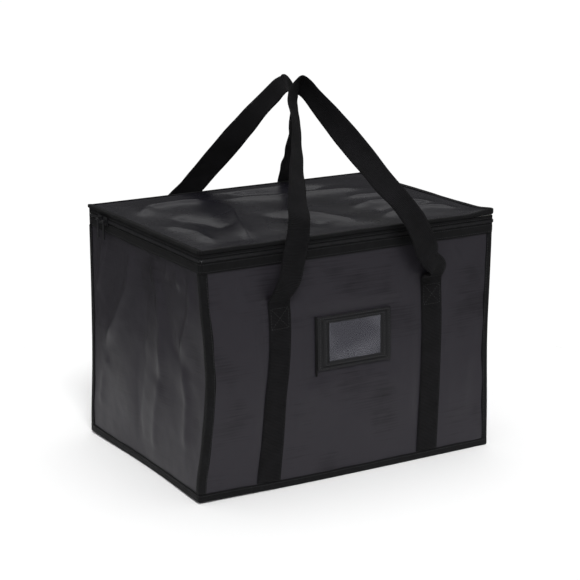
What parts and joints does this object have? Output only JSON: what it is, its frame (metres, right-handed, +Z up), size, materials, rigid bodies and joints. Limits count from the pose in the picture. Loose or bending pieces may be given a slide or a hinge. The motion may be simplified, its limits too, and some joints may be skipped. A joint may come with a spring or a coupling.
{
  "type": "insulated food carrier",
  "caption": "Soft insulated food carrier: foam-lined coated cloth box with a three-sided zip lid, webbing carry handles and a front card pocket.",
  "frame": {"origin": "middle of the flat base, on the floor", "axes": "+X to the right along the front, +Y from the front to the back where the lid is hinged, +Z up"},
  "size_m": [0.5251, 0.4517, 0.5919],
  "materials": {
    "coated_cloth": "coated polyester, dark grey, soft gloss",
    "lid_cloth": "coated polyester, black, glossier",
    "pe_foam": "closed-cell polyethylene foam",
    "foil_lining": "aluminised film, crinkled",
    "base_board": "hollow polypropylene board",
    "binding_tape": "woven binding tape, matt",
    "zip_tape": "woven zip tape, matt",
    "webbing": "ribbed polypropylene webbing, matt",
    "nylon_coil": "nylon coil, satin",
    "black_metal": "black enamelled zinc",
    "pocket_vinyl": "black grained vinyl",
    "clear_vinyl": "clear vinyl film"
  },
  "bodies": {
    "carrier": {"outer_front": "coated_cloth", "outer_back": "coated_cloth", "outer_left": "coated_cloth", "outer_right": "coated_cloth", "outer_base": "coated_cloth", "foam_front": "pe_foam", "foam_back": "pe_foam", "foam_left": "pe_foam", "foam_right": "pe_foam", "foam_base": "pe_foam", "liner_front": "foil_lining", "liner_back": "foil_lining", "liner_left": "foil_lining", "liner_right": "foil_lining", "liner_base": "foil_lining", "base_board": "base_board", "base_binding": "binding_tape", "corner_binding_front_left": "binding_tape", "corner_binding_front_right": "binding_tape", "corner_binding_back_right": "binding_tape", "corner_binding_back_left": "binding_tape", "zip_tape_lower": "zip_tape", "rim_band": "binding_tape", "zip_coil_lower": "nylon_coil", "zip_stop_left": "black_metal", "zip_stop_right": "black_metal", "lid_hinge_tape": "coated_cloth", "webbing_front_left": "webbing", "webbing_front_right": "webbing", "webbing_back_left": "webbing", "webbing_back_right": "webbing", "card_pocket_back": "pocket_vinyl", "card_window": "clear_vinyl", "card_pocket_frame": "pocket_vinyl"},
    "lid": {"lid_outer": "lid_cloth", "lid_foam": "pe_foam", "lid_liner": "foil_lining", "lid_skirt": "binding_tape", "lid_binding": "binding_tape", "zip_tape_upper": "zip_tape", "zip_coil_upper": "nylon_coil"},
    "front_handle": {"front_handle": "webbing"},
    "rear_handle": {"rear_handle": "webbing"},
    "zip_slider_front": {"zip_slider_front": "black_metal"},
    "zip_pull_front": {"zip_pull_front": "black_metal"},
    "zip_slider_rear": {"zip_slider_rear": "black_metal"},
    "zip_pull_rear": {"zip_pull_rear": "black_metal"}
  },
  "joints": [
    {"name": "lid_hinge", "type": "hinge", "parent": "carrier", "child": "lid", "pos_m": [0, 0.1925, 0.368], "axis": [-1, 0, 0], "range_deg": [0, 130]},
    {"name": "front_handle_fold", "type": "hinge", "parent": "carrier", "child": "front_handle", "pos_m": [0, -0.2035, 0.2925], "axis": [1, 0, 0], "range_deg": [0, 165]},
    {"name": "rear_handle_fold", "type": "hinge", "parent": "carrier", "child": "rear_handle", "pos_m": [0, 0.2035, 0.2925], "axis": [-1, 0, 0], "range_deg": [0, 165]},
    {"name": "zip_front_slide", "type": "slide", "parent": "carrier", "child": "zip_slider_front", "axis": [0, -1, 0], "range_m": [0, 0.285]},
    {"name": "zip_rear_slide", "type": "slide", "parent": "carrier", "child": "zip_slider_rear", "axis": [0, 1, 0], "range_m": [0, 0.032]},
    {"name": "pull_front_swing", "type": "hinge", "parent": "zip_slider_front", "child": "zip_pull_front", "pos_m": [-0.264, 0.117, 0.367], "axis": [0, 1, 0], "range_deg": [0, 150]},
    {"name": "pull_rear_swing", "type": "hinge", "parent": "zip_slider_rear", "child": "zip_pull_rear", "pos_m": [-0.264, 0.137, 0.367], "axis": [0, 1, 0], "range_deg": [0, 150]}
  ],
  "couplings": [
    {"joint": "front_handle_fold", "follows": "lid_hinge", "ratio": 1.26},
    {"joint": "rear_handle_fold", "follows": "lid_hinge", "ratio": 1.26}
  ]
}
